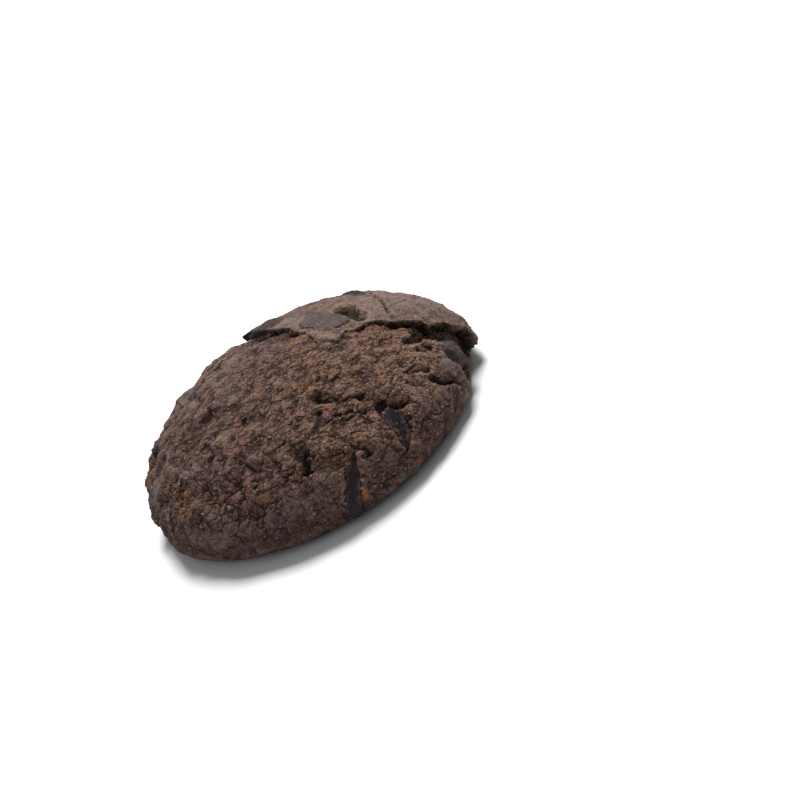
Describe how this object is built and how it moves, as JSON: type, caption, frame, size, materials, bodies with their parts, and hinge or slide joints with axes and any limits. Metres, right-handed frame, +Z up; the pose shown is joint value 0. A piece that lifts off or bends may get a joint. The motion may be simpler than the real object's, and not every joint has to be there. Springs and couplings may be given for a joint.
{
  "type": "double chocolate cookie",
  "caption": "Thick round baked cookie of dark chocolate dough with a crackled domed crust, a lifted slab of crust and chocolate chunks bedded in it, on a flat foot.",
  "frame": {"origin": "middle of the cookie's box at the level of its foot", "axes": "+Z up out of the crown; +X along the longest way across, towards the deep gap under the slab's broken edge; +Y away from the near side"},
  "size_m": [0.0766, 0.0734, 0.0231],
  "materials": {
    "dough": "matt baked crust, dark brown, crackled and crumbly",
    "chocolate": "smooth dark chocolate, dull satin with a faint grey bloom"
  },
  "bodies": {
    "root": {"cookie": "dough", "chunk_crown": "chocolate", "chunk_tip": "chocolate", "chunk_gap": "chocolate", "chunk_pale": "chocolate", "chunk_long": "chocolate", "chunk_near": "chocolate", "chunk_ridge": "chocolate", "chunk_left": "chocolate", "chip_left": "chocolate", "chip_low": "chocolate", "chunk_back": "chocolate", "chunk_far": "chocolate"}
  },
  "joints": []
}
